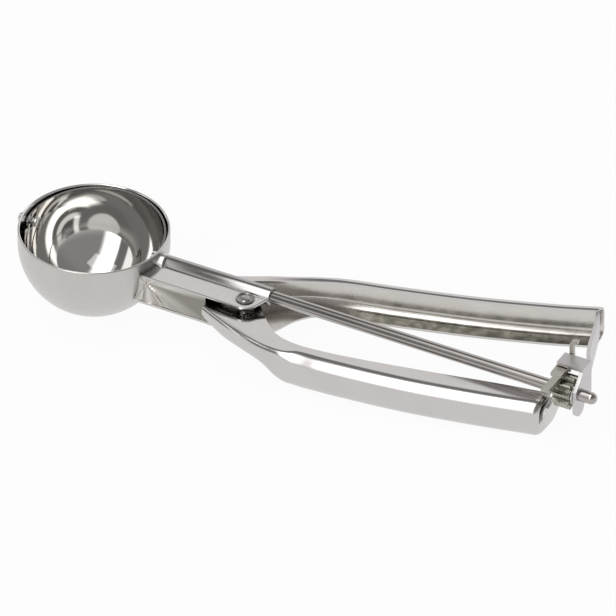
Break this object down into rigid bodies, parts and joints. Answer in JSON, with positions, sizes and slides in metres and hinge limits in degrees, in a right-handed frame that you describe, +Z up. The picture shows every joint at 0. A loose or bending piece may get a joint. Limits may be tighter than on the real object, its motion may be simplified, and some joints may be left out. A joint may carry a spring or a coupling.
{
  "type": "ice cream scoop",
  "caption": "Squeeze-handle ice cream scoop: steel bowl with a sweeping blade turned by a rack and pinion.",
  "frame": {"origin": "on the table, below the middle of the box that the scoop fills as it lies", "axes": "+X from the bowl to the handles, +Y from the squeeze lever to the fixed handle, +Z up"},
  "size_m": [0.2388, 0.0862, 0.0349],
  "materials": {
    "bowl_steel": "satin outside, polished inside",
    "handle_steel": "polished",
    "plate_steel": "fine satin",
    "shaft_steel": "drawn bright",
    "spring_steel": "dark drawn wire"
  },
  "bodies": {
    "frame": {"bowl": "bowl_steel", "fixed_handle": "handle_steel", "rear_bracket": "plate_steel", "shaft_bush": "plate_steel", "far_pivot_pin": "shaft_steel", "pivot_rivet": "shaft_steel", "spring_bush": "plate_steel", "return_spring": "spring_steel", "lever_spacer": "plate_steel", "thrust_washer": "plate_steel"},
    "lever": {"squeeze_lever": "handle_steel", "rack": "plate_steel"},
    "rotor": {"shaft": "shaft_steel", "pinion": "shaft_steel", "scraper_blade": "bowl_steel", "scraper_hub": "shaft_steel"}
  },
  "joints": [
    {"name": "lever_pivot", "type": "hinge", "parent": "frame", "child": "lever", "pos_m": [-0.02147, -0.022, 0.02451], "axis": [0.0525, 0, 0.9986], "range_deg": [0, 5.9], "stiffness_Nm_per_rad": 1, "springref_deg": -11.46},
    {"name": "scraper_spin", "type": "hinge", "parent": "frame", "child": "rotor", "pos_m": [-0.08788, -0.0151, 0.028], "axis": [0.9986, 0, -0.0525], "range_deg": [-136.2, 0]}
  ],
  "couplings": [
    {"joint": "scraper_spin", "follows": "lever_pivot", "ratio": -23.036}
  ]
}
